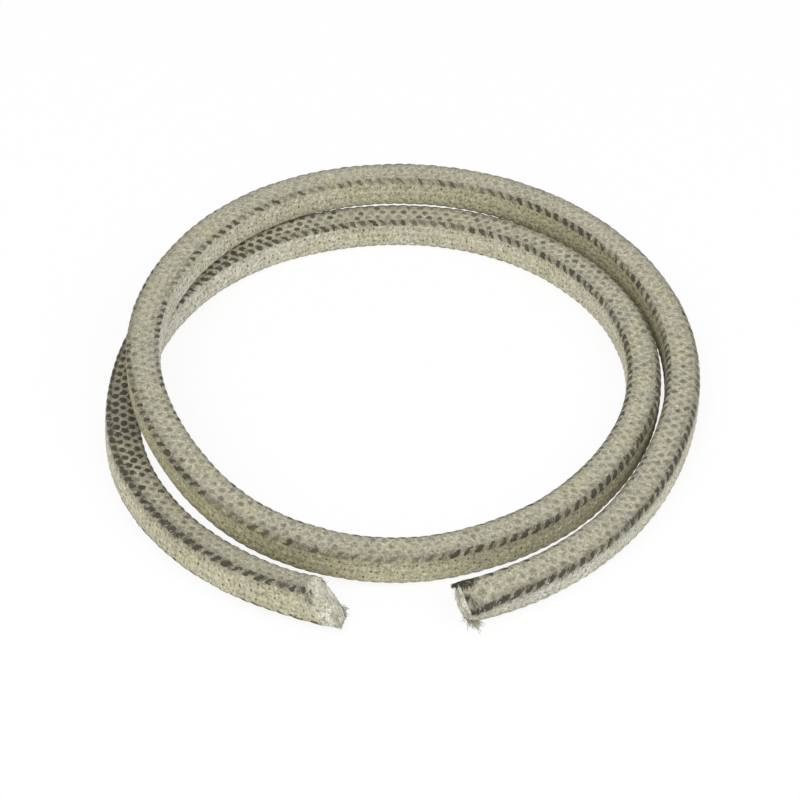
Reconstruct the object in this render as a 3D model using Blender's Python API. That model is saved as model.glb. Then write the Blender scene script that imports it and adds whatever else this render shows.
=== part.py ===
"""Square braided gland packing, one metre cut from a reel.

The strand lies as it comes out of its bag: an open coil of nearly two turns, flat on a surface. The first
pass starts at the front left, lies on the surface all the way round and comes back to the front. There the
strand climbs, crosses over its own start at the left, goes round the back resting against the first pass
and comes down beside it at the right, so that both cut ends lie at the front.

Units are metres, +Z is up and the origin is the middle of the coil on the surface it lies on.
"""

import math

import bmesh
import bpy
import numpy as np
from mathutils import Vector

# Size of the strand
PACKING_SIDE = 0.010
CORNER_RADIUS = 0.0018

# Size of the coil: the mean radius of its first pass, and the air beside and under the second pass
COIL_RADIUS = 0.077
PASS_GAP = 0.0015
CROSSING_CLEARANCE = 0.0004

# Route of the first pass: turn angle in degrees, clockwise from +X as seen from above, and how far the
# middle of the strand lies outside the mean radius there
FIRST_PASS = [
    (102, 0.00925), (135, 0.00600), (160, 0.00425), (185, 0.00325), (210, 0.00600),
    (235, 0.01025), (260, 0.01250), (285, 0.01350), (310, 0.01100), (335, 0.00600),
    (360, -0.00025), (385, -0.00575), (410, -0.00850), (435, -0.00950), (460, -0.00800),
]

# Route of the second pass: turn angle, and how far outside the first pass it lies, counted in strands laid
# side by side. Less than one strand is where it lies on top.
SECOND_PASS = [
    (485, -1.12), (510, -1.02), (535, -0.70), (560, -0.24), (585, 0.18),
    (610, 0.64), (635, 0.78), (660, 1.02), (685, 1.16), (710, 1.06),
    (735, 1.08), (760, 1.34), (794, 1.70),
]

# Turn angles between which the strand climbs onto the first pass and comes down from it
CLIMB = (435, 523)
DESCENT = (628, 712)

# Twist of the strand about its own length: turn angle and degrees, positive tips its top outwards
TWIST = [(102, -18), (150, -11), (195, 0), (735, 0), (794, 16)]

# Fineness of the solid
STATION_SPACING = 0.006
ROUTE_SAMPLES = 2000
CORNER_STEPS = 3
WELD_DISTANCE = 0.00001
SHARP_EDGE = 50


def natural_spline(knots, values, at):
    """A natural cubic spline through the values at the knots, read at the given places."""
    knots = np.asarray(knots, float)
    values = np.asarray(values, float)
    step = np.diff(knots)
    slope = np.diff(values) / step
    count = len(knots)
    system = np.eye(count)
    right = np.zeros(count)
    for i in range(1, count - 1):
        system[i, i - 1:i + 2] = step[i - 1], 2 * (step[i - 1] + step[i]), step[i]
        right[i] = 6 * (slope[i] - slope[i - 1])
    bend = np.linalg.solve(system, right)
    span = np.clip(np.searchsorted(knots, at, side="right") - 1, 0, count - 2)
    past = at - knots[span]
    left = knots[span + 1] - at
    width = step[span]
    return (
        (bend[span] * left ** 3 + bend[span + 1] * past ** 3) / (6 * width)
        + (values[span] / width - bend[span] * width / 6) * left
        + (values[span + 1] / width - bend[span + 1] * width / 6) * past
    )


def ease(turn, span):
    """Nought before the span, one after it, and half a cosine wave between."""
    share = np.clip((turn - span[0]) / (span[1] - span[0]), 0, 1)
    return 0.5 - 0.5 * np.cos(np.pi * share)


def coil_radius(turn):
    """Distance of the middle of the strand from the coil's axis at each turn angle."""
    turns, bulges = zip(*FIRST_PASS)
    first = COIL_RADIUS + natural_spline(turns, bulges, np.array(turns, float))
    beside = PACKING_SIDE + PASS_GAP
    again, strands = zip(*SECOND_PASS)
    below = COIL_RADIUS + natural_spline(turns, bulges, np.array(again, float) - 360)
    second = below + beside * np.array(strands)
    return natural_spline(turns + again, np.concatenate([first, second]), turn)


def twist_angle(turn):
    """Twist of the strand in radians at each turn angle."""
    turns, degrees = zip(*TWIST)
    return np.radians(np.interp(turn, turns, degrees))


def half_reach(turn):
    """Half the width and height of the strand, which grow where it is twisted."""
    twist = twist_angle(turn)
    flat = PACKING_SIDE / 2 - CORNER_RADIUS
    return flat * (np.abs(np.cos(twist)) + np.abs(np.sin(twist))) + CORNER_RADIUS


def middle_height(turn):
    """Height of the middle of the strand, which lies on the surface or on its own first pass."""
    lift = ease(turn, CLIMB) * (1 - ease(turn, DESCENT))
    first_pass_top = 2 * half_reach(turn - 360)
    return half_reach(turn) + lift * (first_pass_top + CROSSING_CLEARANCE)


def route():
    """Points along the middle of the strand at an even spacing, and the twist at each."""
    turn = np.linspace(FIRST_PASS[0][0], SECOND_PASS[-1][0], ROUTE_SAMPLES)
    radius = coil_radius(turn)
    outward = np.stack([np.cos(np.radians(turn)), -np.sin(np.radians(turn))], axis=1)
    rim = outward * (radius + half_reach(turn))[:, None]
    centre = (rim.min(axis=0) + rim.max(axis=0)) / 2
    middle = np.column_stack([outward * radius[:, None] - centre, middle_height(turn)])
    steps = np.linalg.norm(np.diff(middle, axis=0), axis=1)
    along = np.concatenate([[0.0], np.cumsum(steps)])
    stations = np.linspace(0, along[-1], round(along[-1] / STATION_SPACING) + 1)
    even = np.column_stack([np.interp(stations, along, middle[:, axis]) for axis in range(3)])
    return even, twist_angle(np.interp(stations, along, turn))


def section_outline():
    """Points round the strand's section: a square with an arc at each corner."""
    flat = PACKING_SIDE / 2 - CORNER_RADIUS
    points = []
    for corner in range(4):
        start = corner * math.pi / 2
        across = flat * math.sqrt(2) * math.cos(start + math.pi / 4)
        up = flat * math.sqrt(2) * math.sin(start + math.pi / 4)
        for step in range(CORNER_STEPS + 1):
            angle = start + step / CORNER_STEPS * math.pi / 2
            points.append((across + CORNER_RADIUS * math.cos(angle), up + CORNER_RADIUS * math.sin(angle)))
    return points


def new_collection(name):
    """A collection linked to the scene."""
    collection = bpy.data.collections.new(name)
    bpy.context.scene.collection.children.link(collection)
    return collection


def poly_curve(name, points, collection, cyclic=False):
    """A curve object with one straight-sided spline through the points."""
    curve = bpy.data.curves.new(name, "CURVE")
    curve.dimensions = "2D" if cyclic else "3D"
    spline = curve.splines.new("POLY")
    spline.points.add(len(points) - 1)
    for spot, point in zip(spline.points, points):
        spot.co = (*point, 0, 1) if cyclic else (*point, 1)
    spline.use_cyclic_u = cyclic
    thing = bpy.data.objects.new(name, curve)
    collection.objects.link(thing)
    return thing


def section_guide(collection):
    """The strand's section as a closed flat curve, which only guides the sweep."""
    guide = poly_curve("section_guide", section_outline(), collection, cyclic=True)
    guide.hide_render = True
    guide.display_type = "WIRE"
    return guide


def closed_mesh(curve_object, name, collection):
    """The swept curve as a mesh object whose end caps are welded to its sides."""
    evaluated = curve_object.evaluated_get(bpy.context.evaluated_depsgraph_get())
    mesh = bpy.data.meshes.new_from_object(evaluated)
    mesh.name = name
    shell = bmesh.new()
    shell.from_mesh(mesh)
    bmesh.ops.remove_doubles(shell, verts=shell.verts, dist=WELD_DISTANCE)
    bmesh.ops.recalc_face_normals(shell, faces=shell.faces)
    shell.to_mesh(mesh)
    shell.free()
    solid = bpy.data.objects.new(name, mesh)
    solid.matrix_world = curve_object.matrix_world.copy()
    collection.objects.link(solid)
    bpy.data.objects.remove(curve_object)
    return solid


def braided_fibre():
    """Pale lubricated yarn, a dull warm grey."""
    material = bpy.data.materials.new("braided_fibre")
    material.use_nodes = True
    shader = material.node_tree.nodes["Principled BSDF"]
    shader.inputs["Base Color"].default_value = (0.50, 0.48, 0.35, 1)
    shader.inputs["Roughness"].default_value = 0.8
    shader.inputs["Metallic"].default_value = 0.0
    return material


def braided_packing(collection, guides):
    """The whole strand: the section swept along the route, with a flat cut at each end."""
    points, twists = route()
    strand = poly_curve("strand_route", [Vector(point) for point in points], collection)
    strand.data.twist_mode = "Z_UP"
    strand.data.bevel_mode = "OBJECT"
    strand.data.bevel_object = section_guide(guides)
    strand.data.use_fill_caps = True
    for spot, twist in zip(strand.data.splines[0].points, twists):
        spot.tilt = -twist
    bpy.context.view_layer.update()
    solid = closed_mesh(strand, "braided_packing", collection)
    solid.data.materials.clear()
    solid.data.materials.append(braided_fibre())
    solid.data.shade_smooth()
    solid.data.set_sharp_from_angle(angle=math.radians(SHARP_EDGE))
    return solid


def main():
    for thing in list(bpy.data.objects):
        bpy.data.objects.remove(thing)
    braided_packing(new_collection("gland_packing"), new_collection("guides"))


main()
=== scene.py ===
"""Looks of a one metre length of square braided gland packing, lying in an open coil of nearly two turns.

The strand is one closed surface whose stitches stand up from it. Slanted stitches run along its four
corners, and on the faces between them the crossing yarns leave a lattice of diamonds. Handling has stained
the crowns of both, most of all along the corners. The cut ends are frayed, and fine fibres stand off the
faces.
"""

import math

import bpy
import numpy as np
from bpy.props import FloatProperty, FloatVectorProperty, IntProperty, PointerProperty
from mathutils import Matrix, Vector


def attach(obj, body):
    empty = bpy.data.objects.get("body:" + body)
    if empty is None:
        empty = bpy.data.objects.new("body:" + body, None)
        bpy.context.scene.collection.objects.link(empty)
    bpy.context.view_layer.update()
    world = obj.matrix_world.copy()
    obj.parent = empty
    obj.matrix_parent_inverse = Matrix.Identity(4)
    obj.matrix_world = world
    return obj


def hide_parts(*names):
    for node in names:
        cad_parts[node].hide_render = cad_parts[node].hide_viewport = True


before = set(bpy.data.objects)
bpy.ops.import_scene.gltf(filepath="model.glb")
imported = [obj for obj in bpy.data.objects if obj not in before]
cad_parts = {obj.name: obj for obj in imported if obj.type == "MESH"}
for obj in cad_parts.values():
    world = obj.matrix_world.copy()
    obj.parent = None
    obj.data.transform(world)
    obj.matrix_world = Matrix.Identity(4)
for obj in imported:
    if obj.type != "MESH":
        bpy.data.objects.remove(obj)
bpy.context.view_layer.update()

bl_info = {
    "name": "Braided gland packing",
    "version": (1, 0, 0),
    "blender": (4, 5, 0),
    "location": "3D View > Sidebar > Packing",
    "description": "Builds a coil of square braided gland packing on a white studio floor",
    "category": "Add Mesh",
}

NODE = "braided_packing"
BODY = "root"
STRAND = "braided_strand"

# Section and route of the strand, as in the solid model: sizes in metres, turn angles in degrees
PACKING_SIDE = 0.010
CORNER_RADIUS = 0.0018
COIL_RADIUS = 0.077
PASS_GAP = 0.0015
CROSSING_CLEARANCE = 0.0004
FIRST_PASS = [
    (102, 0.00925), (135, 0.00600), (160, 0.00425), (185, 0.00325), (210, 0.00600),
    (235, 0.01025), (260, 0.01250), (285, 0.01350), (310, 0.01100), (335, 0.00600),
    (360, -0.00025), (385, -0.00575), (410, -0.00850), (435, -0.00950), (460, -0.00800),
]
SECOND_PASS = [
    (485, -1.12), (510, -1.02), (535, -0.70), (560, -0.24), (585, 0.18),
    (610, 0.64), (635, 0.78), (660, 1.02), (685, 1.16), (710, 1.06),
    (735, 1.08), (760, 1.34), (794, 1.70),
]
CLIMB = (435, 523)
DESCENT = (628, 712)
TWIST = [(102, -18), (150, -11), (195, 0), (735, 0), (794, 16)]
LINE_SAMPLES = 4000

# The braid: columns of stitches round the section, counted from the outer top corner over the top face.
# Across is where the surface has points in a column, from minus one at its near edge to one at its far
# edge. The rows straighten out over the last stretch before a cut.
COLUMNS = 16
COLUMNS_A_FACE = 4
ACROSS = (-1.0, -0.6, -0.2, 0.2, 0.6)
ROWS_A_STITCH = 4
STRAIGHT_END = 0.009

# Stitches: how much of its half ellipse a stitch takes up along and across, how unlike its neighbours it
# is, and the mean height that stays on the section's own rim, all as shares
CREST = 0.92
ARCH = 0.88
BULGE = 0.12
MEAN_HEIGHT = 0.62

# How far the middle of a face stands out, and how uneven the section is and over what length
PILLOW = 0.00012
UNEVEN = 0.007
UNEVEN_LENGTH = 0.013

# The two cut ends. Slant is how far the cut stands out, in metres: all over, more at the top than at the
# middle, more at the outer side than at the middle, and more at the outer top than at the middle.
FRAYED_LENGTH = 0.015
START_CUT = {"slant": (0.0018, -0.0044, 0.0002, -0.0002), "dome": 0.0012, "flare": 0.13, "turn": 0.0,
             "rounded": 0.0030, "shrink": 0.13}
FINISH_CUT = {"slant": (0.0027, 0.0010, -0.0004, -0.0001), "dome": 0.0018, "flare": 0.08, "turn": 14.0,
              "rounded": 0.0014, "shrink": 0.07}

# Cut faces: rings of points, cut yarn ends with their spread, reach and height, the height of the middle,
# and the length and width of a yarn's mark
CUT_RINGS = 14
YARN_ENDS = 26
YARN_END_SPREAD = 0.42
YARN_END_REACH = 0.17
YARN_END_HEIGHT = 0.0006
CUT_MIDDLE = 0.0002
CUT_MARK = (0.0035, 0.0023)

# Fibres combed over the cuts: how far out their roots lie and where they fan out from, in half sections,
# their shortest and longest length, their least height, how far they reach past the section, and the share
# of a full comb that the start has
ROOT_REACH = 0.95
COMB_TOP = (-1.3, 1.5)
COMB_LENGTH = (0.0014, 0.0042)
COMB_HEIGHT = 0.00003
COMB_REACH = 1.12
START_COMB = 1 / 3

# Tufts at the cuts, rooted this deep. Each has its root, spread, way, length, count, curl, tone, thickness.
ROOT_DEPTH = 0.0005
START_TUFTS = [
    ((-0.70, 0.85), 0.12, (0.7, -0.2, -0.2), 0.0022, 24, 0.40, 0.35, 0.8),
    ((-0.60, -0.55), 0.10, (1.0, 0.0, 0.25), 0.0026, 22, 0.12, 0.62, 1.0),
    ((0.5, -0.8), 0.25, (0.9, 0.1, 0.05), 0.0012, 60, 0.45, 1.00, 1.4),
    ((-0.3, -0.1), 0.35, (0.7, -0.3, 0.2), 0.0012, 60, 0.40, 0.95, 1.4),
]
FINISH_TUFTS = [
    ((-0.88, 0.85), 0.09, (0.75, -0.10, -0.55), 0.0030, 110, 0.07, 0.04, 1.4),
    ((-0.72, 0.95), 0.14, (0.40, -0.2, 0.05), 0.0014, 60, 0.15, 0.06, 1.2),
    ((0.75, -0.92), 0.16, (-0.35, 0.95, 0.25), 0.0042, 110, 0.45, 0.88, 1.5),
    ((0.3, -0.95), 0.25, (0.10, 0.95, 0.15), 0.0044, 120, 0.45, 0.80, 1.5),
    ((0.75, 0.45), 0.14, (0.30, 0.2, -0.6), 0.0018, 16, 0.20, 0.10, 1.0),
]

# Fibres end in a tip that is this share of their root, and stay this far above the floor. The loose ones
# keep clear of the cuts and are rooted just under the surface.
FIBRE_TIP = 0.4
TUFT_FLOOR = 0.0002
LOOSE_FLOOR = 0.0001
LOOSE_CLEAR = 0.002
LOOSE_DEPTH = 0.0001

# Handling stain, from nought to one, at distances along the strand in metres
OUTER_CORNER_STAIN = [
    (0.00, 0.70), (0.03, 0.78), (0.055, 1.05), (0.10, 1.05), (0.15, 0.75), (0.21, 0.65), (0.37, 0.80),
    (0.43, 0.80), (0.49, 0.48), (0.56, 0.65), (0.64, 0.48), (0.73, 0.50), (0.85, 0.38), (0.93, 0.78),
    (0.97, 0.72), (1.01, 1.00),
]
INNER_CORNER_STAIN = [
    (0.00, 0.48), (0.11, 0.62), (0.19, 0.72), (0.24, 0.58), (0.31, 0.66), (0.37, 0.78), (0.43, 0.52),
    (0.56, 0.46), (0.64, 0.52), (0.72, 0.45), (0.79, 0.60), (0.86, 0.62), (0.91, 0.56), (1.01, 0.46),
]
# The top face's dark stretch, from about 0.06 to 0.23 m, is handling stain and painted shade: there the
# second pass lies over the first.
TOP_STAIN_AND_SHADE = [
    (0.00, 0.08), (0.035, 0.12), (0.06, 0.38), (0.08, 0.70), (0.095, 0.95), (0.14, 0.95), (0.17, 0.50),
    (0.195, 0.62), (0.225, 0.42), (0.275, 0.32), (0.335, 0.28), (0.385, 0.18), (0.475, 0.10), (0.555, 0.25),
    (0.625, 0.14), (0.70, 0.05), (0.85, 0.08), (0.905, 0.30), (0.955, 0.22), (1.01, 0.10),
]

# The stain drifts up and down over this length, and the lower corners have this share of it
STAIN_DRIFT = 0.017
LOWER_CORNERS = 0.6

# Film of soil: its strength along the corners and over a dark top, where it is also painted shade under the
# second pass, and its width about each top corner in columns
CORNER_FILM = 0.82
TOP_FILM_AND_SHADE = 0.34
OUTER_FILM_WIDTH = 0.85
INNER_FILM_WIDTH = 0.64

# Soil at the finish: its strength, and the nearness to the cut at which it comes in and is whole, in the
# tuft of the inner top corner, down the outer rim and along the top edge. The blot beside the start has a
# middle and a half width, first along the strand and then in columns from the outer top corner.
TUFT_SOIL = 2.6, (0.76, 0.88)
RIM_SOIL = 0.85, (0.74, 0.90)
EDGE_SOIL = 0.90, (0.90, 0.96)
BLOT = (0.0026, 0.0016), (-1.1, 0.6)

# Size of the section at distances along the strand: it is a little swollen where the passes lie side by side
SWELLING = [
    (0.18, 1.0), (0.23, 1.035), (0.32, 1.035), (0.37, 1.02), (0.44, 1.025), (0.49, 1.0),
    (0.64, 1.0), (0.69, 1.035), (0.79, 1.035), (0.84, 1.02), (0.93, 1.025), (0.97, 1.0),
]

# Side faces: nought is clean yarn, one is yarn darkened by lubricant and by painted shade, minus one is
# chalky yarn lightened by painted light
# Painted shade: the dark values lie where one pass runs close beside the other. Painted light: the pale
# values lift faces the lamps leave too dark, most of all the inner faces.
OUTER_SIDE_AGE_AND_SHADING = [
    (0.00, 0.10), (0.06, 0.10), (0.10, -0.50), (0.30, 0.0), (0.41, -0.05), (0.46, 0.18), (0.49, 0.24),
    (0.53, 0.60), (0.60, 0.55), (0.75, 0.0), (0.92, -0.45), (0.98, -0.80), (1.01, -0.60),
]
INNER_SIDE_AGE_AND_SHADING = [
    (0.00, 0.0), (0.15, -0.90), (0.20, -0.70), (0.24, -0.15), (0.32, -0.20), (0.36, -0.35), (0.45, 0.0),
    (0.63, -0.95), (0.70, -0.25), (0.75, 0.15), (0.80, 0.50), (0.87, 0.50), (0.95, 0.10), (1.01, 0.0),
]

# Sizes of the patterns in the yarn, in millimetres
PATTERN = {"wobble": 1.923, "speck": 0.909, "grain": 2.083, "cloud": 11.11, "dust": 0.435, "pits": 1.786}

# Seeds of the random draws
SEED = {"swelling": 3, "stitches": 5, "bulge": 7, "drift": 11, "yarn ends": 21, "start": 32, "finish": 33,
        "loose": 41}

# Stage: what the camera looks at, the floor's half width and its gap to the strand, and the soft lights
AIM = (-0.00136, -0.00509, 0.005)
FLOOR_REACH = 4.0
FLOOR_GAP = 0.0002
LIGHT_SIZE = 1.6
LIGHTS = (("key", (-1.2, -1.1, 2.2), 28.0), ("fill", (1.5, -1.0, 1.9), 19.0))


def linear(hex_colour):
    """An sRGB hex colour as linear red, green, blue and a full alpha."""
    parts = [int(hex_colour[i:i + 2], 16) / 255 for i in (1, 3, 5)]
    return (*(p / 12.92 if p <= 0.04045 else ((p + 0.055) / 1.055) ** 2.4 for p in parts), 1.0)


class StrandSettings(bpy.types.PropertyGroup):
    """Sizes and colours of the braided strand."""

    side: FloatProperty(
        name="Side", description="Side of the square section", default=PACKING_SIDE, unit="LENGTH")
    corner: FloatProperty(
        name="Corner radius", description="Rounding of the section's corners", default=CORNER_RADIUS,
        unit="LENGTH")
    pitch: FloatProperty(
        name="Stitch pitch", description="Length of one stitch along the strand", default=0.0035,
        unit="LENGTH")
    relief: FloatProperty(
        name="Relief", description="Height of a stitch above the gaps", default=0.00034, unit="LENGTH")
    lean: FloatProperty(
        name="Lean", description="Angle of a stitch from the strand", default=math.radians(50),
        subtype="ANGLE")
    top: FloatVectorProperty(
        name="Top yarn", description="Yarn on the top face", subtype="COLOR", size=4,
        default=linear("#b2af9a"))
    flank: FloatVectorProperty(
        name="Side yarn", description="Yarn on the side faces", subtype="COLOR", size=4,
        default=linear("#ccc7ac"))
    stain: FloatVectorProperty(
        name="Stain", description="Handling stain", subtype="COLOR", size=4, default=linear("#3c382e"))


class EndSettings(bpy.types.PropertyGroup):
    """Sizes of the frayed cut ends."""

    combed: IntProperty(name="Combed fibres", description="Fibres lying on a full cut face", default=420)
    radius: FloatProperty(
        name="Radius", description="Radius of one teased fibre", default=0.00010, unit="LENGTH")


class FuzzSettings(bpy.types.PropertyGroup):
    """Sizes of the fine fibres that stand off the faces."""

    fibres: IntProperty(name="Fibres", description="Fine fibres along the strand", default=4200)
    length: FloatProperty(name="Length", description="Longest fine fibre", default=0.0014, unit="LENGTH")
    radius: FloatProperty(
        name="Radius", description="Radius of a fine fibre", default=0.000025, unit="LENGTH")


class StageSettings(bpy.types.PropertyGroup):
    """Camera, lights and floor."""

    height: FloatProperty(
        name="View height", description="Angle of the view above the floor", default=math.radians(40.89),
        subtype="ANGLE")
    distance: FloatProperty(name="Distance", description="Camera to coil", default=0.760, unit="LENGTH")
    lens: FloatProperty(name="Lens", description="Focal length in millimetres", default=112.6)


def node(tree, kind, inputs=(), output=0, **settings):
    """Adds one node and returns one of its output sockets, or the node itself if it has none.

    Settings go to its properties, and inputs are values or the sockets that feed it.
    """
    made = tree.nodes.new(kind)
    for name, value in settings.items():
        setattr(made, name, value)
    for name, value in dict(inputs).items():
        if isinstance(value, bpy.types.NodeSocket):
            tree.links.new(value, made.inputs[name])
        else:
            made.inputs[name].default_value = value
    return made.outputs[output] if made.outputs else made


def natural_spline(knots, values, at):
    """A natural cubic spline: the second slopes solve the usual three-band system, the ends are free."""
    knots = np.asarray(knots, float)
    values = np.asarray(values, float)
    step = np.diff(knots)
    slope = np.diff(values) / step
    count = len(knots)
    system = np.eye(count)
    right = np.zeros(count)
    for i in range(1, count - 1):
        system[i, i - 1:i + 2] = step[i - 1], 2 * (step[i - 1] + step[i]), step[i]
        right[i] = 6 * (slope[i] - slope[i - 1])
    bend = np.linalg.solve(system, right)
    span = np.clip(np.searchsorted(knots, at, side="right") - 1, 0, count - 2)
    past = at - knots[span]
    left = knots[span + 1] - at
    width = step[span]
    return (
        (bend[span] * left ** 3 + bend[span + 1] * past ** 3) / (6 * width)
        + (values[span] / width - bend[span] * width / 6) * left
        + (values[span + 1] / width - bend[span + 1] * width / 6) * past
    )


def ease(at, span):
    """Nought before the span, one after it, and half a cosine wave between."""
    share = np.clip((at - span[0]) / (span[1] - span[0]), 0, 1)
    return 0.5 - 0.5 * np.cos(np.pi * share)


def read(table, at):
    """A table of places and values, read between its places."""
    return np.interp(at, *zip(*table))


def slow_noise(at, spacing, seed):
    """Smooth noise between minus one and one: random values at even spacing, joined by a cubic ease."""
    rng = np.random.default_rng(seed)
    place = np.clip(at, 0, None) / spacing
    values = rng.uniform(-1, 1, int(np.max(place)) + 3)
    low = np.floor(place).astype(int)
    share = place - low
    share = share * share * (3 - 2 * share)
    return values[low] * (1 - share) + values[low + 1] * share


class Line:
    """The middle of the strand at even steps: distance along, place, and the ways ahead, out and up."""

    def __init__(self, side, corner):
        self.side = side
        self.corner = corner
        turn = np.linspace(FIRST_PASS[0][0], SECOND_PASS[-1][0], LINE_SAMPLES)
        radius = self.coil_radius(turn)
        around = np.stack([np.cos(np.radians(turn)), -np.sin(np.radians(turn))], axis=1)
        rim = around * (radius + self.half_reach(turn))[:, None]
        centre = (rim.min(axis=0) + rim.max(axis=0)) / 2
        place = np.column_stack([around * radius[:, None] - centre, self.middle_height(turn)])
        steps = np.linalg.norm(np.diff(place, axis=0), axis=1)
        along = np.concatenate([[0.0], np.cumsum(steps)])
        self.length = along[-1]
        self.along = np.linspace(0, self.length, LINE_SAMPLES)
        self.place = self.at(self.along, along, place)
        self.ahead = self.unit(np.gradient(self.place, axis=0))
        side_way = self.unit(np.cross(self.ahead, (0, 0, 1)))
        side_way *= np.sign(np.sum(side_way[:, :2] * self.place[:, :2], axis=1))[:, None]
        up = np.cross(side_way, self.ahead)
        up *= np.sign(up[:, 2:])
        turned = read(TWIST, np.interp(self.along, along, turn))
        turned += START_CUT["turn"] * self.near_end(self.along) ** 2
        turned += FINISH_CUT["turn"] * self.near_end(self.length - self.along) ** 2
        twist = np.radians(turned)[:, None]
        self.outward = side_way * np.cos(twist) - up * np.sin(twist)
        self.upward = side_way * np.sin(twist) + up * np.cos(twist)

    @staticmethod
    def unit(vectors):
        """The vectors at length one."""
        return vectors / np.linalg.norm(vectors, axis=-1, keepdims=True)

    @staticmethod
    def at(place, knots, table):
        """A table of vectors, read between its knots."""
        return np.stack([np.interp(place, knots, table[:, axis]) for axis in range(table.shape[1])], axis=-1)

    @staticmethod
    def near_end(distance):
        """One at a cut end and nought from the frayed length onwards."""
        return np.clip(1 - distance / FRAYED_LENGTH, 0, 1)

    def coil_radius(self, turn):
        """Distance from the coil's axis: the mean radius and a spline through the route's own points."""
        turns, bulges = zip(*FIRST_PASS)
        again, strands = zip(*SECOND_PASS)
        below = natural_spline(turns, bulges, np.array(again, float) - 360)
        second = below + (self.side + PASS_GAP) * np.array(strands)
        return COIL_RADIUS + natural_spline(turns + again, np.concatenate([bulges, second]), turn)

    def half_reach(self, turn):
        """Half the width and height of the twisted section."""
        twist = np.radians(read(TWIST, turn))
        flat = self.side / 2 - self.corner
        return flat * (np.abs(np.cos(twist)) + np.abs(np.sin(twist))) + self.corner

    def middle_height(self, turn):
        """Height of the middle of the strand, on the floor or on its own first pass."""
        lift = ease(turn, CLIMB) * (1 - ease(turn, DESCENT))
        return self.half_reach(turn) + lift * (2 * self.half_reach(turn - 360) + CROSSING_CLEARANCE)

    def on(self, along, out, up, own=None):
        """Points at a distance along the strand, moved outward and upward from its middle.

        Past a cut end the middle goes straight on. The section flares towards both ends by the cube of the
        nearness and is rounded off at the cuts by its square. Own is a point's distance along where a slanted
        cut has moved it from there.
        """
        own = np.clip(along if own is None else own, 0, self.length)
        inside = np.clip(along, 0, self.length)
        flare = 1
        for cut, distance in ((START_CUT, own), (FINISH_CUT, self.length - own)):
            flare = flare + cut["flare"] * self.near_end(distance) ** 3
            flare = flare - cut["shrink"] * np.clip(1 - distance / cut["rounded"], 0, 1) ** 2
        place = self.at(inside, self.along, self.place)
        ahead = self.at(inside, self.along, self.ahead)
        outward = self.at(inside, self.along, self.outward)
        upward = self.at(inside, self.along, self.upward)
        out, up = out * flare, up * flare
        return (place + ahead * (along - inside)[..., None] + outward * out[..., None]
                + upward * up[..., None])

    def slant(self, cut, out, up):
        """How far the slanted cut stands out past the square end at a point of the section."""
        level, top, outer, both = cut["slant"]
        out, up = out / (self.side / 2), up / (self.side / 2)
        return level + top * up + outer * out + both * out * up

    def stretched(self, along, out, up):
        """Distance along with the last stitches stretched or squeezed to meet the slanted cuts."""
        first = self.slant(START_CUT, out, up) * self.near_end(along) ** 2
        last = self.slant(FINISH_CUT, out, up) * self.near_end(self.length - along) ** 2
        return along - first + last

    def on_cut(self, start, out, up, lift):
        """Points lifted off a cut face, which is slanted, and domed by the square of the way to its rim."""
        cut = START_CUT if start else FINISH_CUT
        share = np.clip(np.maximum(np.abs(out), np.abs(up)) / (self.side / 2), 0, 1)
        reach = self.slant(cut, out, up) + cut["dome"] * (1 - share ** 2) + lift
        along = -reach if start else self.length + reach
        return self.on(along, out, up, np.zeros(1) if start else np.full(1, self.length))


def section(share, side, corner):
    """Rim of a rounded square: share 0 is the outer top corner, a quarter on is the inner top corner.

    Each quarter is an arc about its corner's centre, carried on straight along both flats. Returns the
    point and the outward normal, as outward and upward parts.
    """
    quarter = side - 2 * corner + math.pi * corner / 2
    number = np.round(share * 4)
    way = (share * 4 - number) * quarter
    arc = math.pi * corner / 4
    angle = np.clip(way, -arc, arc) / corner + math.pi / 4
    over = way - np.clip(way, -arc, arc)
    middle = side / 2 - corner
    across = middle + corner * np.cos(angle) - over * np.sin(angle)
    upward = middle + corner * np.sin(angle) + over * np.cos(angle)
    turn = number * math.pi / 2
    cos, sin = np.cos(turn), np.sin(turn)
    point = across * cos - upward * sin, across * sin + upward * cos
    normal = np.cos(angle + turn), np.sin(angle + turn)
    return point, normal


def new_mesh(name, points, faces):
    """A smooth-shaded mesh object in the scene from arrays of points and of faces."""
    mesh = bpy.data.meshes.new(name)
    mesh.from_pydata(points.tolist(), [], [face for group in faces for face in group.tolist()])
    mesh.polygons.foreach_set("use_smooth", np.ones(len(mesh.polygons), bool))
    mesh.update()
    thing = bpy.data.objects.new(name, mesh)
    bpy.context.scene.collection.objects.link(thing)
    return thing


def store(thing, name, domain, values):
    """Stores one number on each face or point."""
    thing.data.attributes.new(name, "FLOAT", domain).data.foreach_set("value", values.astype(np.float32))


def stitch_stain_and_shade(column, along, rng):
    """How stained each stitch is, from nought to one, with painted shade on the top face where the second
    pass lies over the first.

    The two top corners and the top face read their own tables, with a slow drift along the strand and a
    throw of the dice for each stitch. The lower corners are less stained than the upper ones, the sides
    clean.
    """
    place = column % COLUMNS_A_FACE
    dice = rng.random(column.shape)
    drift = slow_noise(along, STAIN_DRIFT, SEED["drift"]) * np.where(column < 2, 1, -1)
    outer = read(OUTER_CORNER_STAIN, along)
    inner = read(INNER_CORNER_STAIN, along)
    corner = np.where((column == 0) | (column == COLUMNS - COLUMNS_A_FACE), outer, inner)
    corner = corner * (1.08 + 0.20 * drift) + 0.30 * (dice - 0.5)
    corner = corner * np.where(column < COLUMNS // 2, 1.0, LOWER_CORNERS)
    top = read(TOP_STAIN_AND_SHADE, along)
    top = 0.02 + 0.10 * dice ** 2 + top * (0.2 + 0.5 * top + (1.1 - 0.5 * top) * dice) + 0.04 * (column == 1)
    side = 0.03 + 0.16 * dice ** 2
    face = np.where(column < COLUMNS_A_FACE, top, side)
    return np.clip(np.where(place == 0, corner, face), 0, 1)


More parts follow.
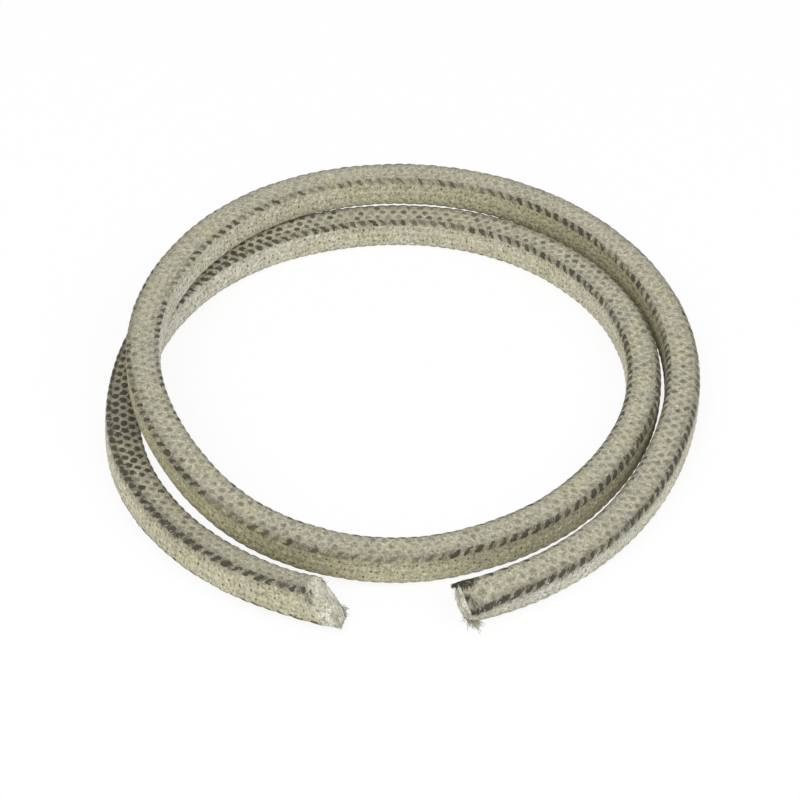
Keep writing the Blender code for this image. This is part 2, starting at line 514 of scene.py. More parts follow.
def diamonds(number, column):
    """Diagonal coordinates of the braid, from places counted in stitches and in columns.

    They are the sum and the difference of the stitch number and half the column number, so that every
    diamond has whole numbers at its middle.
    """
    return np.stack([number + column / 2, number - column / 2], axis=-1)


def braid_surface(line, props):
    """The braid as a grid: rows follow the stitches, so they zigzag round the section.

    Along a row a point is carried forward or back by its distance from its column's middle times the
    cotangent of the lean. The corners lean opposite ways in turn, each column next to a corner leans
    against it, and the middle column of a face is a chevron. A corner stitch's height is the product of two
    half ellipses: one across the stitch, by the row's phase, and one along it. On the faces the crossing
    yarns leave diamonds, whose height is the root of a parabola across one diagonal times one across the
    other.
    """
    stitches = round(line.length / props.pitch)
    pitch = line.length / stitches
    rows = np.arange(stitches * ROWS_A_STITCH + 1)
    column = np.repeat(np.arange(COLUMNS), len(ACROSS))
    across = np.tile(ACROSS, COLUMNS)
    rim = 4 * (props.side - 2 * props.corner) + 2 * math.pi * props.corner
    swing = rim / COLUMNS / 2 / math.tan(props.lean)
    place = column % COLUMNS_A_FACE
    hand = 1 - 2 * (column // COLUMNS_A_FACE % 2)
    slope = np.select([place == 1, place == 2], [across, np.abs(across)], -across) * hand
    middle = rows[:, None] * pitch / ROWS_A_STITCH + 0 * across
    edge = np.minimum(middle, line.length - middle)
    along = middle + slope * swing * ease(edge, (0, STRAIGHT_END))
    rng = np.random.default_rng(SEED["bulge"])
    bulge = rng.normal(0, BULGE, (stitches + 2, COLUMNS))

    def height(columns, distance):
        """Height of a stitch from nought to one at each row, for these columns."""
        number = rows[:, None] / ROWS_A_STITCH + 0.5 * (columns % 2)
        stitch = np.round(number)
        crest = np.sqrt(1 - ((number - stitch) * 2 * CREST) ** 2)
        arch = np.sqrt(1 - (distance * ARCH) ** 2)
        return crest * arch * (1 + bulge[stitch.astype(int), columns])

    tall = height(column, across)
    neighbour = height((column - 1) % COLUMNS, np.abs(across))
    tall = np.where(across == -1.0, np.maximum(tall, neighbour), tall)
    diagonals = diamonds(along / pitch, column + across / 2)
    offset = 2 * (diagonals - np.round(diagonals))
    tall = np.where(place == 0, tall, np.sqrt(np.prod(1 - offset ** 2, axis=-1)))
    share = (column + across / 2) / COLUMNS
    (out, up), (normal_out, normal_up) = section(share, props.side, props.corner)
    pillow = PILLOW * np.cos((share * 4 % 1 - 0.5) * math.pi) ** 2
    uneven = UNEVEN * slow_noise(along, UNEVEN_LENGTH, SEED["swelling"])
    swell = read(SWELLING, along) + uneven * ease(edge, (0, 0.004))
    rise = props.relief * (tall - MEAN_HEIGHT) + pillow
    out, up = out * swell + normal_out * rise, up * swell + normal_up * rise
    stretched = line.stretched(along, out, up)
    return line.on(stretched, out, up, along), along, out, up, stitches


def grid_faces(rows, round_count):
    """Four-sided faces of a grid that closes round, row by row."""
    row, spot = np.meshgrid(np.arange(rows - 1), np.arange(round_count), indexing="ij")
    after = (spot + 1) % round_count
    corners = [row * round_count + spot, row * round_count + after,
               (row + 1) * round_count + after, (row + 1) * round_count + spot]
    return np.stack(corners, axis=-1).reshape(-1, 4)


def yarn_ends(out, up, seed, side):
    """Height of the cut yarn ends across a cut face: each yarn is a small dome about its own middle."""
    rng = np.random.default_rng(seed)
    spots = rng.uniform(-YARN_END_SPREAD, YARN_END_SPREAD, (YARN_ENDS, 2)) * side
    near = np.min(np.hypot(out[..., None] - spots[:, 0], up[..., None] - spots[:, 1]), axis=-1)
    return np.sqrt(np.clip(1 - (near / (YARN_END_REACH * side)) ** 2, 0, 1))


def strand_mesh(line, props):
    """The closed strand: the braid, and a cut face of smaller and smaller rings at each end."""
    braid, along, out, up, stitches = braid_surface(line, props)
    rows, count = braid.shape[:2]
    shrink = np.linspace(1, 0, CUT_RINGS + 2)[1:-1, None]
    points = [braid.reshape(-1, 3)]
    faces = [grid_faces(rows, count)]
    spot = np.arange(count)
    after = (spot + 1) % count
    for start in (True, False):
        row = 0 if start else -1
        ring_out, ring_up = shrink * out[row], shrink * up[row]
        bumps = YARN_END_HEIGHT * yarn_ends(ring_out, ring_up, SEED["yarn ends"] + start, props.side)
        rings = line.on_cut(start, ring_out, ring_up, bumps * (1 - shrink ** 6))
        tip = line.on_cut(start, np.zeros(1), np.zeros(1), np.full(1, CUT_MIDDLE))
        base = sum(len(group) for group in points)
        rim = spot + (0 if start else (rows - 1) * count)
        here = np.concatenate([rim, base + np.arange(rings.size // 3)])
        cap = here[grid_faces(len(shrink) + 1, count)]
        last = here[-count:]
        fan = np.stack([last, last[after], np.full(count, base + rings.size // 3)], axis=-1)
        faces += [cap[:, ::-1], fan[:, ::-1]] if start else [cap, fan]
        points += [rings.reshape(-1, 3), tip]
    points = np.concatenate(points)
    points[:, 2] = np.maximum(points[:, 2], 0)
    thing = new_mesh(STRAND, points, faces)
    yarn_data(thing, line, faces, along, stitches)
    point_data(thing, line, along, len(points) - rows * count)
    return thing


def yarn_data(thing, line, faces, along, stitches):
    """Yarn coordinates, stain and a random number for each stitch.

    The yarn map runs from 0 to 1 along a stitch and from 0 to 1 across it, and the diamond map holds the
    diagonal coordinates. A face belongs to the corner stitch or to the diamond that holds its middle. On a
    cut face the yarn map's unit is a mark's length downwards and a mark's width sideways.
    """
    rows, count = along.shape
    row, spot = np.divmod(np.arange(len(faces[0])), count)
    column = spot // len(ACROSS)
    number = (row + 0.5) / ROWS_A_STITCH + 0.5 * (column % 2)
    stitch = np.round(number)
    phase = row / ROWS_A_STITCH + 0.5 * (column % 2) - stitch + 0.5
    along_stitch = (np.array(ACROSS + (1.0,)) + 1) / 2
    here = spot % len(ACROSS)
    left, right = along_stitch[here], along_stitch[here + 1]
    later = phase + 1 / ROWS_A_STITCH
    sides_map = np.stack([left, phase, right, phase, right, later, left, later], axis=-1)
    places = np.empty(len(thing.data.vertices) * 3, np.float32)
    thing.data.vertices.foreach_get("co", places)
    cut = places.reshape(-1, 3)[np.concatenate([group.ravel() for group in faces[1:]])]
    cut_map = np.stack([cut[:, 2] / CUT_MARK[0], (cut[:, 0] + cut[:, 1]) / CUT_MARK[1]], axis=-1)
    after = (spot + 1) % count
    corner_along = [along[row, spot], along[row, after], along[row + 1, after], along[row + 1, spot]]
    corner_along = np.stack(corner_along, axis=-1) * stitches / line.length
    corner_column = column[:, None] - 0.5 + np.stack([left, right, right, left], axis=-1)
    diamond_map = diamonds(corner_along, corner_column)
    for name, values, on_cut in (("yarn", sides_map, cut_map), ("diamond", diamond_map, 0 * cut_map)):
        layer = thing.data.uv_layers.new(name=name)
        layer.data.foreach_set("uv", np.append(values.ravel(), on_cut.ravel()).astype(np.float32))
    first, second = np.round(diamond_map.mean(axis=1)).astype(int).T
    corner = column % COLUMNS_A_FACE == 0
    column = np.where(corner, column, (first - second) % COLUMNS)
    stitch = np.where(corner, stitch, (first + second + column % 2) // 2).astype(int)
    cell = np.clip(stitch, 0, stitches + 1), column
    rng = np.random.default_rng(SEED["stitches"])
    columns, numbers = np.meshgrid(np.arange(COLUMNS), np.arange(stitches + 2))
    at = np.clip((numbers - 0.5 * (columns % 2)) * line.length / stitches, 0, line.length)
    pad = np.zeros(len(thing.data.polygons) - len(row))
    store(thing, "stain", "FACE", np.append(stitch_stain_and_shade(columns, at, rng)[cell], pad))
    store(thing, "dice", "FACE", np.append(rng.random(columns.shape)[cell], pad + 0.5))
    store(thing, "corner", "FACE", np.append(corner, pad))
    store(thing, "cut", "FACE", np.append(0.0 * row, pad + 1))


def point_data(thing, line, along, cut_points):
    """Slow changes over the surface: side face or top face, how aged the yarn is with painted shade and light
    on the sides, and a film of dirt and painted shade.

    The film falls off on both sides of the two top corners as a bell curve, and lies over the darkest
    stretch of the top face, where it is also painted shade under the second pass. Soil has also gathered in a
    tuft at the finish's inner top corner, down its outer rim, along its top edge, and in a blot beside the
    start. The start's last stitches are worn pale.
    """
    column = np.repeat(np.arange(COLUMNS), len(ACROSS)) + np.tile(ACROSS, COLUMNS) / 2
    column = column % COLUMNS
    face = column / COLUMNS_A_FACE
    side = ease(np.abs(face % 2 - 1.5), (0.62, 0.38)) + 0 * along
    worn = ease(line.near_end(along), (0.75, 0.97))
    side = np.maximum(side, worn)
    age_and_shading = np.where(face > 2, read(OUTER_SIDE_AGE_AND_SHADING, along), read(INNER_SIDE_AGE_AND_SHADING, along)) * side
    age_and_shading = age_and_shading * (1 - worn) - worn
    from_outer = (column + COLUMNS / 2) % COLUMNS - COLUMNS / 2
    from_inner = column - COLUMNS_A_FACE
    outer = 1.12 * read(OUTER_CORNER_STAIN, along) * np.exp(-(from_outer / OUTER_FILM_WIDTH) ** 2)
    inner = read(INNER_CORNER_STAIN, along) * np.exp(-(from_inner / INNER_FILM_WIDTH) ** 2)
    top = (column > 0.3) & (column < COLUMNS_A_FACE - 0.3)
    # Over the dark top stretch the film is dirt and painted shade, where the second pass lies over the first.
    over = TOP_FILM_AND_SHADE * top * ease(read(TOP_STAIN_AND_SHADE, along), (0.40, 1.0))
    film = np.maximum(CORNER_FILM * np.maximum(outer, inner), over)
    last = line.near_end(line.length - along)
    tuft = TUFT_SOIL[0] * np.exp(-(from_inner / 0.85) ** 2) * ease(last, TUFT_SOIL[1])
    rim = RIM_SOIL[0] * np.exp(-(from_outer - 0.7) ** 2 / 0.8) * ease(last, RIM_SOIL[1])
    edge = EDGE_SOIL[0] * top * ease(last, EDGE_SOIL[1])
    (middle, length), (across, width) = BLOT
    blot = np.exp(-((along - middle) / length) ** 2 - ((from_outer - across) / width) ** 2)
    film = np.max([film, tuft, rim, edge, blot], axis=0)
    pad = np.zeros(cut_points)
    # The cut faces count as side faces at the most chalky value: painted light that lifts faces turned away
    # from the key lamp
    store(thing, "flank", "POINT", np.append(side.ravel(), pad + 1))
    store(thing, "age_and_shading", "POINT", np.append(age_and_shading.ravel(), pad - 1))
    store(thing, "soil_and_shade", "POINT", np.append(film.ravel(), pad))


def braided_yarn(props):
    """Braided cotton yarn with dried lubricant: dull, pale, with grey handling stain on the stitch tops, and
    painted shade and light in its colour.

    The stain sits on the crown of each stitch, so the gaps between stitches stay pale, and fine lines run
    along each yarn. The yarn map's unit is one stitch, about 3.0 mm along the yarn by 2.7 mm across it, and
    the diamond map's is the step from one diamond to the next. Patterns on Object coordinates have the sizes
    in PATTERN, and the dust of 0.4 mm stands for fibres of a few hundredths, too fine to show.
    """
    material = bpy.data.materials.new("braided cotton yarn")
    material.use_nodes = True
    tree = material.node_tree
    shader = tree.nodes["Principled BSDF"]
    math_node, vector_node, mix_node, range_node = (
        "ShaderNodeMath", "ShaderNodeVectorMath", "ShaderNodeMix", "ShaderNodeMapRange")
    yarn = node(tree, "ShaderNodeUVMap", uv_map="yarn")
    place = node(tree, "ShaderNodeTexCoord", output="Object")
    stain, dice, corner, cut, flank, age_and_shading, soil_and_shade = (
        node(tree, "ShaderNodeAttribute", output="Fac", attribute_name=name)
        for name in ("stain", "dice", "corner", "cut", "flank", "age_and_shading", "soil_and_shade"))

    # Distance from the stitch's middle: spots are rounder on the faces and long and thin at the corners
    centred = node(tree, vector_node, {0: yarn, 1: (2, 2, 0), 2: (-1, -1, 0)}, operation="MULTIPLY_ADD")
    wobble = node(tree, "ShaderNodeTexNoise",
                  {"Vector": place, "Scale": 1000 / PATTERN["wobble"], "Detail": 2.0}, output="Color")
    jagged = node(tree, vector_node, {0: wobble, 1: (1.9, 1.9, 0), 2: centred}, operation="MULTIPLY_ADD")
    jagged = node(tree, vector_node, {0: jagged, 1: (0.95, 0.95, 0)}, operation="SUBTRACT")
    long_spot = node(tree, vector_node, {0: jagged, 1: (0.98, 1.90, 0)}, operation="MULTIPLY")
    long_reach = node(tree, vector_node, {0: long_spot}, output="Value", operation="LENGTH")
    diamond = node(tree, "ShaderNodeUVMap", uv_map="diamond")
    diamond = node(tree, vector_node, {0: wobble, 1: (0.36, 0.36, 0), 2: diamond}, operation="MULTIPLY_ADD")
    diamond = node(tree, vector_node, {0: diamond, 1: (0.32, 0.32, 0)}, operation="ADD")
    diamond = node(tree, vector_node, {0: diamond}, operation="FRACTION")
    diamond = node(tree, vector_node, {0: diamond, 1: (0.5, 0.5, 0)}, operation="SUBTRACT")
    wide = node(tree, vector_node, {0: diamond, 1: (2.5, -2.5, 0)}, output="Value", operation="DOT_PRODUCT")
    long = node(tree, vector_node, {0: diamond, 1: (1.75, 1.75, 0)}, output="Value", operation="DOT_PRODUCT")
    round_spot = node(tree, "ShaderNodeCombineXYZ", {0: wide, 1: long})
    round_reach = node(tree, vector_node, {0: round_spot}, output="Value", operation="LENGTH")
    reach = node(tree, mix_node, {"Factor": corner, 2: round_reach, 3: long_reach})

    # Fibre lines: 0.3 mm apart across the yarn, 2 mm long along it, and different in every stitch
    seed = node(tree, math_node, {0: dice, 1: 53.0}, operation="MULTIPLY")
    seed_vector = node(tree, "ShaderNodeCombineXYZ", {2: seed})
    lined = node(tree, vector_node, {0: yarn, 1: (1.4, 9.0, 1.0), 2: seed_vector}, operation="MULTIPLY_ADD")
    streak = node(tree, "ShaderNodeTexNoise", {"Vector": lined, "Scale": 1.0, "Detail": 2.0})
    fine, grain, cloud, dust = (
        node(tree, "ShaderNodeTexNoise", {"Vector": place, "Scale": 1000 / PATTERN[name], "Detail": detail})
        for name, detail in (("speck", 2.0), ("grain", 3.0), ("cloud", 2.0), ("dust", 1.0)))

    # Yarn colour: greyer on top, creamier at the sides, khaki where lubricated and where shade is painted in,
    # paler where chalky and where light is painted in, and warmer or greener in places
    oil_and_shade = node(tree, range_node, {"Value": age_and_shading, "From Min": 0.0, "From Max": 1.0})
    chalk_and_light = node(tree, range_node, {"Value": age_and_shading, "From Min": 0.0, "From Max": -1.0})
    warm = node(tree, range_node, {"Value": grain, "From Min": 0.52, "From Max": 0.70, "To Max": 0.34})
    green = node(tree, range_node, {"Value": cloud, "From Min": 0.50, "From Max": 0.66, "To Max": 0.45})
    # The cut faces get a paler tint: painted light on faces turned away from the key lamp
    base = tuple(props.top)
    for factor, tint in (
            (flank, tuple(props.flank)), (oil_and_shade, linear("#999562")), (chalk_and_light, linear("#dfdecf")),
            (cut, linear("#dcd9c9")), (warm, linear("#c9b6a0")), (green, linear("#bdb994"))):
        base = node(tree, mix_node, {"Factor": factor, 6: base, 7: tint}, output=2, data_type="RGBA")

    # Light and shade of the yarn, from its fibre lines down to its dust
    shade = node(tree, range_node, {"Value": streak, "From Min": 0.25, "From Max": 0.75,
                                    "To Min": 0.84, "To Max": 1.13})
    speck = node(tree, range_node, {"Value": fine, "From Min": 0.3, "From Max": 0.7,
                                    "To Min": 0.63, "To Max": 1.30})
    each = node(tree, range_node, {"Value": dice, "To Min": 0.93, "To Max": 1.06})
    sand = node(tree, range_node, {"Value": dust, "From Min": 0.3, "From Max": 0.7,
                                   "To Min": 0.72, "To Max": 1.26})
    for factor in (speck, sand, each):
        shade = node(tree, math_node, {0: shade, 1: factor}, operation="MULTIPLY")
    base = node(tree, mix_node, {"Factor": 1.0, 6: base, 7: shade}, output=2, data_type="RGBA",
                blend_type="MULTIPLY")

    # Pale crossing yarns between the diamonds, and painted shade in the pinholes where they cross and in
    # small pits elsewhere
    away = node(tree, vector_node, {0: diamond}, operation="ABSOLUTE")
    parts = node(tree, "ShaderNodeSeparateXYZ", {0: away}).node.outputs
    edge = node(tree, math_node, {0: parts[0], 1: parts[1]}, operation="MAXIMUM")
    crossing = node(tree, math_node, {0: parts[0], 1: parts[1]}, operation="MINIMUM")
    face = node(tree, math_node, {0: 1.0, 1: corner}, operation="SUBTRACT")
    whole = node(tree, math_node, {0: 1.0, 1: cut}, operation="SUBTRACT")
    net = node(tree, range_node, {"Value": edge, "From Min": 0.30, "From Max": 0.46, "To Max": 0.30},
               interpolation_type="SMOOTHSTEP")
    for factor in (face, whole):
        net = node(tree, math_node, {0: net, 1: factor}, operation="MULTIPLY")
    base = node(tree, mix_node, {"Factor": net, 6: base, 7: linear("#dad6c2")}, output=2, data_type="RGBA")
    pinhole_shade = node(tree, range_node, {"Value": crossing, "From Min": 0.33, "From Max": 0.44, "To Max": 0.9},
               interpolation_type="SMOOTHSTEP")
    some = node(tree, range_node, {"Value": grain, "From Min": 0.38, "From Max": 0.54})
    deep = node(tree, range_node, {"Value": flank, "To Min": 0.30, "To Max": 1.0})
    for factor in (face, some, deep):
        pinhole_shade = node(tree, math_node, {0: pinhole_shade, 1: factor}, operation="MULTIPLY")
    cells = node(tree, "ShaderNodeTexVoronoi", {"Vector": place, "Scale": 1000 / PATTERN["pits"]})
    pit_shade = node(tree, range_node, {"Value": cells, "From Min": 0.26, "From Max": 0.10, "To Max": 0.55},
               interpolation_type="SMOOTHSTEP")
    pinhole_shade = node(tree, math_node, {0: pinhole_shade, 1: pit_shade}, operation="MAXIMUM")
    pinhole_shade = node(tree, math_node, {0: pinhole_shade, 1: whole}, operation="MULTIPLY")
    # Painted shade: the pinholes and pits are darkened in colour, most on the side faces
    base = node(tree, mix_node, {"Factor": pinhole_shade, 6: base, 7: linear("#5b5740")}, output=2, data_type="RGBA")

    # Stain: a spot on each crown, wider and darker the more stained it is, over a thin film; on the top face
    # under the second pass both also hold painted shade
    ragged = node(tree, range_node, {"Value": fine, "From Min": 0.34, "From Max": 0.66,
                                     "To Min": 0.14, "To Max": 0.86})
    limit = node(tree, math_node, {0: stain, 1: 0.72, 2: ragged}, operation="MULTIPLY_ADD")
    inside = node(tree, math_node, {0: limit, 1: reach}, operation="SUBTRACT")
    spot = node(tree, range_node, {"Value": inside, "From Min": -0.25, "From Max": 0.20},
                interpolation_type="SMOOTHSTEP")
    depth = node(tree, range_node, {"Value": stain, "From Min": 0.0, "From Max": 0.66, "To Max": 0.92})
    spot = node(tree, math_node, {0: spot, 1: depth}, operation="MULTIPLY")
    patchy = node(tree, range_node, {"Value": grain, "From Min": 0.35, "From Max": 0.65,
                                     "To Min": 0.45, "To Max": 1.25})
    strokes = node(tree, range_node, {"Value": streak, "From Min": 0.36, "From Max": 0.62,
                                      "To Min": 0.45, "To Max": 1.30})
    film = node(tree, math_node, {0: soil_and_shade, 1: patchy}, operation="MULTIPLY")
    film = node(tree, math_node, {0: film, 1: strokes}, operation="MULTIPLY", use_clamp=True)
    dirt = node(tree, math_node, {0: spot, 1: film}, operation="MAXIMUM")
    colour = node(tree, mix_node, {"Factor": dirt, 6: base, 7: tuple(props.stain)}, output=2,
                  data_type="RGBA")
    tree.links.new(colour, shader.inputs["Base Color"])
    shader.inputs["Roughness"].default_value = 0.85
    shader.inputs["Specular IOR Level"].default_value = 0.25
    shader.inputs["Sheen Weight"].default_value = 0.05

    # Bump: fibre lines and specks on a stitch that is domed from its middle outwards
    spread = node(tree, vector_node, {0: centred}, output="Value", operation="LENGTH")
    dome = node(tree, range_node, {"Value": spread, "From Min": 1.3, "From Max": 0.0},
                interpolation_type="SMOOTHSTEP")
    rise = node(tree, math_node, {0: streak, 1: 0.5, 2: dome}, operation="MULTIPLY_ADD")
    rise = node(tree, math_node, {0: fine, 1: 0.5, 2: rise}, operation="MULTIPLY_ADD")
    bump = node(tree, "ShaderNodeBump", {"Height": rise, "Strength": 0.5, "Distance": 0.0003})
    tree.links.new(bump, shader.inputs["Normal"])
    return material


def teased_fibre():
    """Teased cotton fibre: dull and pale, and nearly black where the stain has soaked in."""
    material = bpy.data.materials.new("teased cotton fibre")
    material.use_nodes = True
    tree = material.node_tree
    shader = tree.nodes["Principled BSDF"]
    tone = node(tree, "ShaderNodeAttribute", output="Fac", attribute_name="tone")
    colour = node(tree, "ShaderNodeMix", {"Factor": tone, 6: linear("#37332c"), 7: linear("#d3d0bf")},
                  output=2, data_type="RGBA")
    tree.links.new(colour, shader.inputs["Base Color"])
    shader.inputs["Roughness"].default_value = 0.8
    shader.inputs["Specular IOR Level"].default_value = 0.25
    return material


def fibre_mesh(name, paths, radius, tone, material, sides=3):
    """Thin tubes along paths of shape fibres by points by 3, thinner towards the tip and closed at both ends.

    Each ring stands on two directions square to the path's own overall direction.
    """
    fibres, points = paths.shape[:2]
    ahead = Line.unit(paths[:, -1] - paths[:, 0])
    helper = np.where(np.abs(ahead[:, 2:]) < 0.9, [[0.0, 0.0, 1.0]], [[1.0, 0.0, 0.0]])
    first = Line.unit(np.cross(ahead, helper))
    second = np.cross(ahead, first)
    angle = np.arange(sides) / sides * 2 * math.pi
    taper = np.linspace(1, FIBRE_TIP, points)
    ring = first[:, None] * np.cos(angle)[:, None] + second[:, None] * np.sin(angle)[:, None]
    reach = np.asarray(radius).reshape(-1, 1) * taper
    spots = paths[:, :, None] + ring[:, None] * reach[:, :, None, None]
    here = np.arange(fibres * points * sides).reshape(fibres, points, sides)
    after = np.roll(here, -1, axis=2)
    quads = np.stack([here[:, :-1], after[:, :-1], after[:, 1:], here[:, 1:]], axis=-1).reshape(-1, 4)
    caps = np.concatenate([here[:, 0, ::-1], here[:, -1]])
    thing = new_mesh(name, spots.reshape(-1, 3), [quads, caps])
    store(thing, "tone", "FACE", np.concatenate([np.repeat(tone, (points - 1) * sides), tone, tone]))
    thing.data.materials.append(material)
    return thing


def combed_fibres(line, start, count, seed):
    """Fibres that lie on a cut face and fan down from its inner top corner.

    A fibre runs from its root away from the corner, bends off by the square of the distance, and its tip
    lifts the same way. A hyperbolic tangent holds it within the section's rim.
    """
    rng = np.random.default_rng(seed)
    half = line.side / 2
    root = rng.uniform(-ROOT_REACH, ROOT_REACH, (count, 2)) * half
    apex = np.array(COMB_TOP) * half
    way = Line.unit(root - apex + (0, -0.4 * half)) + rng.normal(0, 0.16, (count, 2))
    length = rng.uniform(*COMB_LENGTH, count)
    step = np.linspace(0, 1, 7)
    bend = rng.normal(0, 0.35, count)[:, None] * step ** 2
    run = length[:, None] * step
    out = root[:, :1] + way[:, :1] * run - way[:, 1:] * bend * run
    up = root[:, 1:] + way[:, 1:] * run + way[:, :1] * bend * run
    root_lift = rng.uniform(0, 0.0003, (count, 1))
    lift = COMB_HEIGHT + root_lift + rng.exponential(0.00022, (count, 1)) * step ** 2
    limit = COMB_REACH * half
    lowest = -(1.0 if start else 1.3) * half
    out = limit * np.tanh(out / limit * 1.02)
    up = np.where(up > 0, limit * np.tanh(up / limit * 1.02), np.maximum(up, lowest))
    paths = line.on_cut(start, out, up, lift)
    return paths, 0.62 + 0.38 * rng.random(count)


def clump(line, start, root, spread, way, length, count, curl, seed):
    """A tuft that leaves a cut face from one place of the section.

    Way is its direction as along the strand, outward and upward. A fibre goes straight on along it, curls
    off to the side by the square of the distance and waves by a sine. A tuft of little curl narrows
    towards its tip.
    """
    rng = np.random.default_rng(seed)
    index = 0 if start else -1
    axes = np.stack([line.ahead[index] * (-1 if start else 1), line.outward[index], line.upward[index]])
    half = line.side / 2
    spot = np.clip(np.array(root) + rng.normal(0, spread, (count, 2)), -ROOT_REACH, ROOT_REACH) * half
    base = line.on_cut(start, spot[:, 0], spot[:, 1], np.full(count, -ROOT_DEPTH))
    middle = base.mean(axis=0)
    step = np.linspace(0, 1, 7)
    reach = length * rng.uniform(0.45, 1.0, count)
    side_way = rng.normal(0, curl, (count, 3))
    run = reach[:, None] * step
    path = base[:, None] + (np.array(way) @ axes) * run[..., None]
    path = path + side_way[:, None] * (run * step)[..., None] * 0.6
    wave = np.sin(step * 8 + rng.uniform(0, 6, (count, 1))) * step * reach[:, None] * 0.5 * curl
    path = path + Line.unit(rng.normal(0, 1, (count, 3)))[:, None] * wave[..., None]
    return path + (middle - base)[:, None] * (max(0.6 - curl, 0) * step ** 2)[:, None]


class PACKING_OT_strand(bpy.types.Operator):
    """Braid the strand along its coil"""

    bl_idname = "packing.strand"
    bl_label = "Braided strand"

    def execute(self, context):
        props = context.scene.packing_strand
        line = Line(props.side, props.corner)
        thing = strand_mesh(line, props)
        thing.data.materials.append(braided_yarn(props))
        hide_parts(NODE)
        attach(thing, BODY)
        return {"FINISHED"}


class PACKING_OT_cut_ends(bpy.types.Operator):
    """Fray the two cut ends"""

    bl_idname = "packing.cut_ends"
    bl_label = "Cut ends"

    def execute(self, context):
        props = context.scene.packing_strand
        settings = context.scene.packing_ends
        line = Line(props.side, props.corner)
        fibre = teased_fibre()
        for name, start, tufts, share in (
                ("start", True, START_TUFTS, START_COMB), ("finish", False, FINISH_TUFTS, 1)):
            seed = SEED[name]
            rng = np.random.default_rng(seed + 10)
            paths, tone = combed_fibres(line, start, round(settings.combed * share), seed)
            groups, tones, thickness = [paths], [tone], [np.ones(len(paths))]
            for number, (*shape, shade, thick) in enumerate(tufts):
                groups.append(clump(line, start, *shape, seed + 20 + number))
                tones.append(np.clip(shade + rng.normal(0, 0.08, len(groups[-1])), 0, 1))
                thickness.append(np.full(len(groups[-1]), thick))
            paths = np.concatenate(groups)
            paths[..., 2] = np.maximum(paths[..., 2], TUFT_FLOOR)
            radius = settings.radius * np.concatenate(thickness) * rng.uniform(0.6, 1.3, len(paths))
            thing = fibre_mesh("frayed_" + name, paths, radius, np.concatenate(tones), fibre, sides=4)
            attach(thing, BODY)
        return {"FINISHED"}


class PACKING_OT_fuzz(bpy.types.Operator):
    """Stand fine loose fibres off the faces, each an arch of a sine that slides and drifts as it goes"""

    bl_idname = "packing.fuzz"
    bl_label = "Loose fibres"

    def execute(self, context):
        props = context.scene.packing_strand
        settings = context.scene.packing_fuzz
        line = Line(props.side, props.corner)
        rng = np.random.default_rng(SEED["loose"])
        count = settings.fibres
        along = rng.uniform(LOOSE_CLEAR, line.length - LOOSE_CLEAR, count)
        share = rng.random(count)
        (out, up), (normal_out, normal_up) = section(share, props.side, props.corner)
        length = settings.length * rng.uniform(0.25, 1.0, count) ** 1.5
        step = np.linspace(0, 1, 4)
        arch = 0.45 * length[:, None] * np.sin(step * math.pi * rng.uniform(0.5, 0.95, (count, 1)))
        lift = arch - LOOSE_DEPTH
        slide = rng.normal(0, 0.6, (count, 1)) * length[:, None] * step
        drift = rng.normal(0, 0.4, (count, 1)) * length[:, None] * step
        out_path = out[:, None] + normal_out[:, None] * lift - normal_up[:, None] * drift
        up_path = up[:, None] + normal_up[:, None] * lift + normal_out[:, None] * drift
        paths = line.on(along[:, None] + slide, out_path, up_path)
        paths[..., 2] = np.maximum(paths[..., 2], LOOSE_FLOOR)
        fibre = bpy.data.materials["teased cotton fibre"]
        tone = 0.5 + 0.5 * rng.random(count)
        thing = fibre_mesh("loose_fibres", paths, np.full(count, settings.radius), tone, fibre)
        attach(thing, BODY)
        return {"FINISHED"}


class PACKING_OT_declare(bpy.types.Operator):
    """Build the strand's middle line from its side and corner; nothing is done with it"""

    bl_idname = "packing.declare"
    bl_label = "Declare the strand"

    def execute(self, context):
        props = context.scene.packing_strand
        line = Line(props.side, props.corner)
        return {"FINISHED"}


def seen_directly(tree):
    """One where the camera, a mirror or glass sees the surface, and nought where it only lights others."""
    rays = node(tree, "ShaderNodeLightPath").node.outputs
    some = node(tree, "ShaderNodeMath", {0: rays["Is Camera Ray"], 1: rays["Is Glossy Ray"]},
                operation="MAXIMUM")
    return node(tree, "ShaderNodeMath", {0: some, 1: rays["Is Transmission Ray"]}, operation="MAXIMUM")


def floor_material():
    """Matt white paper: white to the camera, and it keeps a soft shadow."""
    material = bpy.data.materials.new("white paper")
    material.use_nodes = True
    tree = material.node_tree
    tree.nodes.clear()
    paper = node(tree, "ShaderNodeBsdfDiffuse", {"Color": linear("#f6f6f6")})
    white = node(tree, "ShaderNodeEmission", {"Color": (1, 1, 1, 1), "Strength": 1.015})
    shown = node(tree, "ShaderNodeMixShader", {0: 0.88, 1: paper, 2: white})
    mixed = node(tree, "ShaderNodeMixShader", {0: seen_directly(tree), 1: paper, 2: shown})
    node(tree, "ShaderNodeOutputMaterial", {"Surface": mixed})
    return material


def studio_world():
    """Even pale light from all round, white where it is seen."""
    world = bpy.data.worlds.new("studio")
    world.use_nodes = True
    tree = world.node_tree
    tree.nodes.clear()
    soft = node(tree, "ShaderNodeBackground", {"Color": (1, 1, 1, 1), "Strength": 0.5})
    white = node(tree, "ShaderNodeBackground", {"Color": (1, 1, 1, 1), "Strength": 1.0})
    mixed = node(tree, "ShaderNodeMixShader", {0: seen_directly(tree), 1: soft, 2: white})
    node(tree, "ShaderNodeOutputWorld", {"Surface": mixed})
    return world


def soft_light(name, place, power):
    """A square soft light at a place, turned to the coil's middle."""
    data = bpy.data.lights.new(name, "AREA")
    data.size = LIGHT_SIZE
    data.energy = power
    lamp = bpy.data.objects.new(name, data)
    bpy.context.scene.collection.objects.link(lamp)
    lamp.location = place
    lamp.rotation_euler = (-Vector(place)).to_track_quat("-Z", "Y").to_euler()


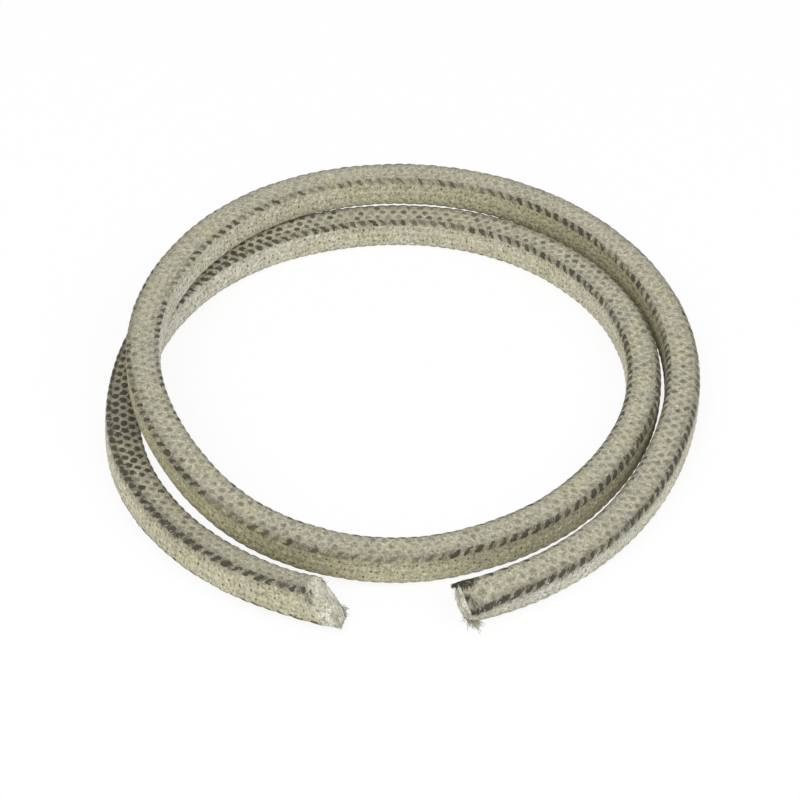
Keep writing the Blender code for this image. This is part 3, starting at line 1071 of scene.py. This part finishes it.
class PACKING_OT_stage(bpy.types.Operator):
    """Set the white floor, the soft lights and the camera"""

    bl_idname = "packing.stage"
    bl_label = "Stage"

    def execute(self, context):
        scene = context.scene
        stage = scene.packing_stage
        camera = bpy.data.objects.new("camera", bpy.data.cameras.new("camera"))
        scene.collection.objects.link(camera)
        camera.data.lens = stage.lens
        camera.data.sensor_width = 36.0
        camera.data.clip_start = 0.01
        back = Vector((0, -math.cos(stage.height), math.sin(stage.height)))
        camera.location = Vector(AIM) + back * stage.distance
        camera.rotation_euler = (-back).to_track_quat("-Z", "Y").to_euler()
        scene.camera = camera
        reach = FLOOR_REACH
        corners = [(-reach, -reach, 0), (reach, -reach, 0), (reach, reach, 0), (-reach, reach, 0)]
        mesh = bpy.data.meshes.new("floor")
        mesh.from_pydata(corners, [], [(0, 1, 2, 3)])
        floor = bpy.data.objects.new("floor", mesh)
        floor.location.z = -FLOOR_GAP
        floor.data.materials.append(floor_material())
        scene.collection.objects.link(floor)
        for light in LIGHTS:
            soft_light(*light)
        scene.world = studio_world()
        scene.view_settings.view_transform = "Standard"
        return {"FINISHED"}


class PACKING_PT_panel(bpy.types.Panel):
    """Lists the pieces in the order they are made"""

    bl_label = "Gland packing"
    bl_idname = "PACKING_PT_panel"
    bl_space_type = "VIEW_3D"
    bl_region_type = "UI"
    bl_category = "Packing"

    def draw(self, context):
        for step in STEPS:
            self.layout.operator(step.bl_idname)


STEPS = (PACKING_OT_stage, PACKING_OT_strand, PACKING_OT_cut_ends, PACKING_OT_fuzz, PACKING_OT_declare)
SETTINGS = {
    "packing_strand": StrandSettings,
    "packing_ends": EndSettings,
    "packing_fuzz": FuzzSettings,
    "packing_stage": StageSettings,
}


def register():
    for kind in (*SETTINGS.values(), *STEPS, PACKING_PT_panel):
        bpy.utils.register_class(kind)
    for name, kind in SETTINGS.items():
        setattr(bpy.types.Scene, name, PointerProperty(type=kind))


def unregister():
    for name in SETTINGS:
        delattr(bpy.types.Scene, name)
    for kind in reversed((*SETTINGS.values(), *STEPS, PACKING_PT_panel)):
        bpy.utils.unregister_class(kind)


def main():
    register()
    for step in STEPS:
        group, name = step.bl_idname.split(".")
        getattr(getattr(bpy.ops, group), name)()


if __name__ == "__main__":
    main()
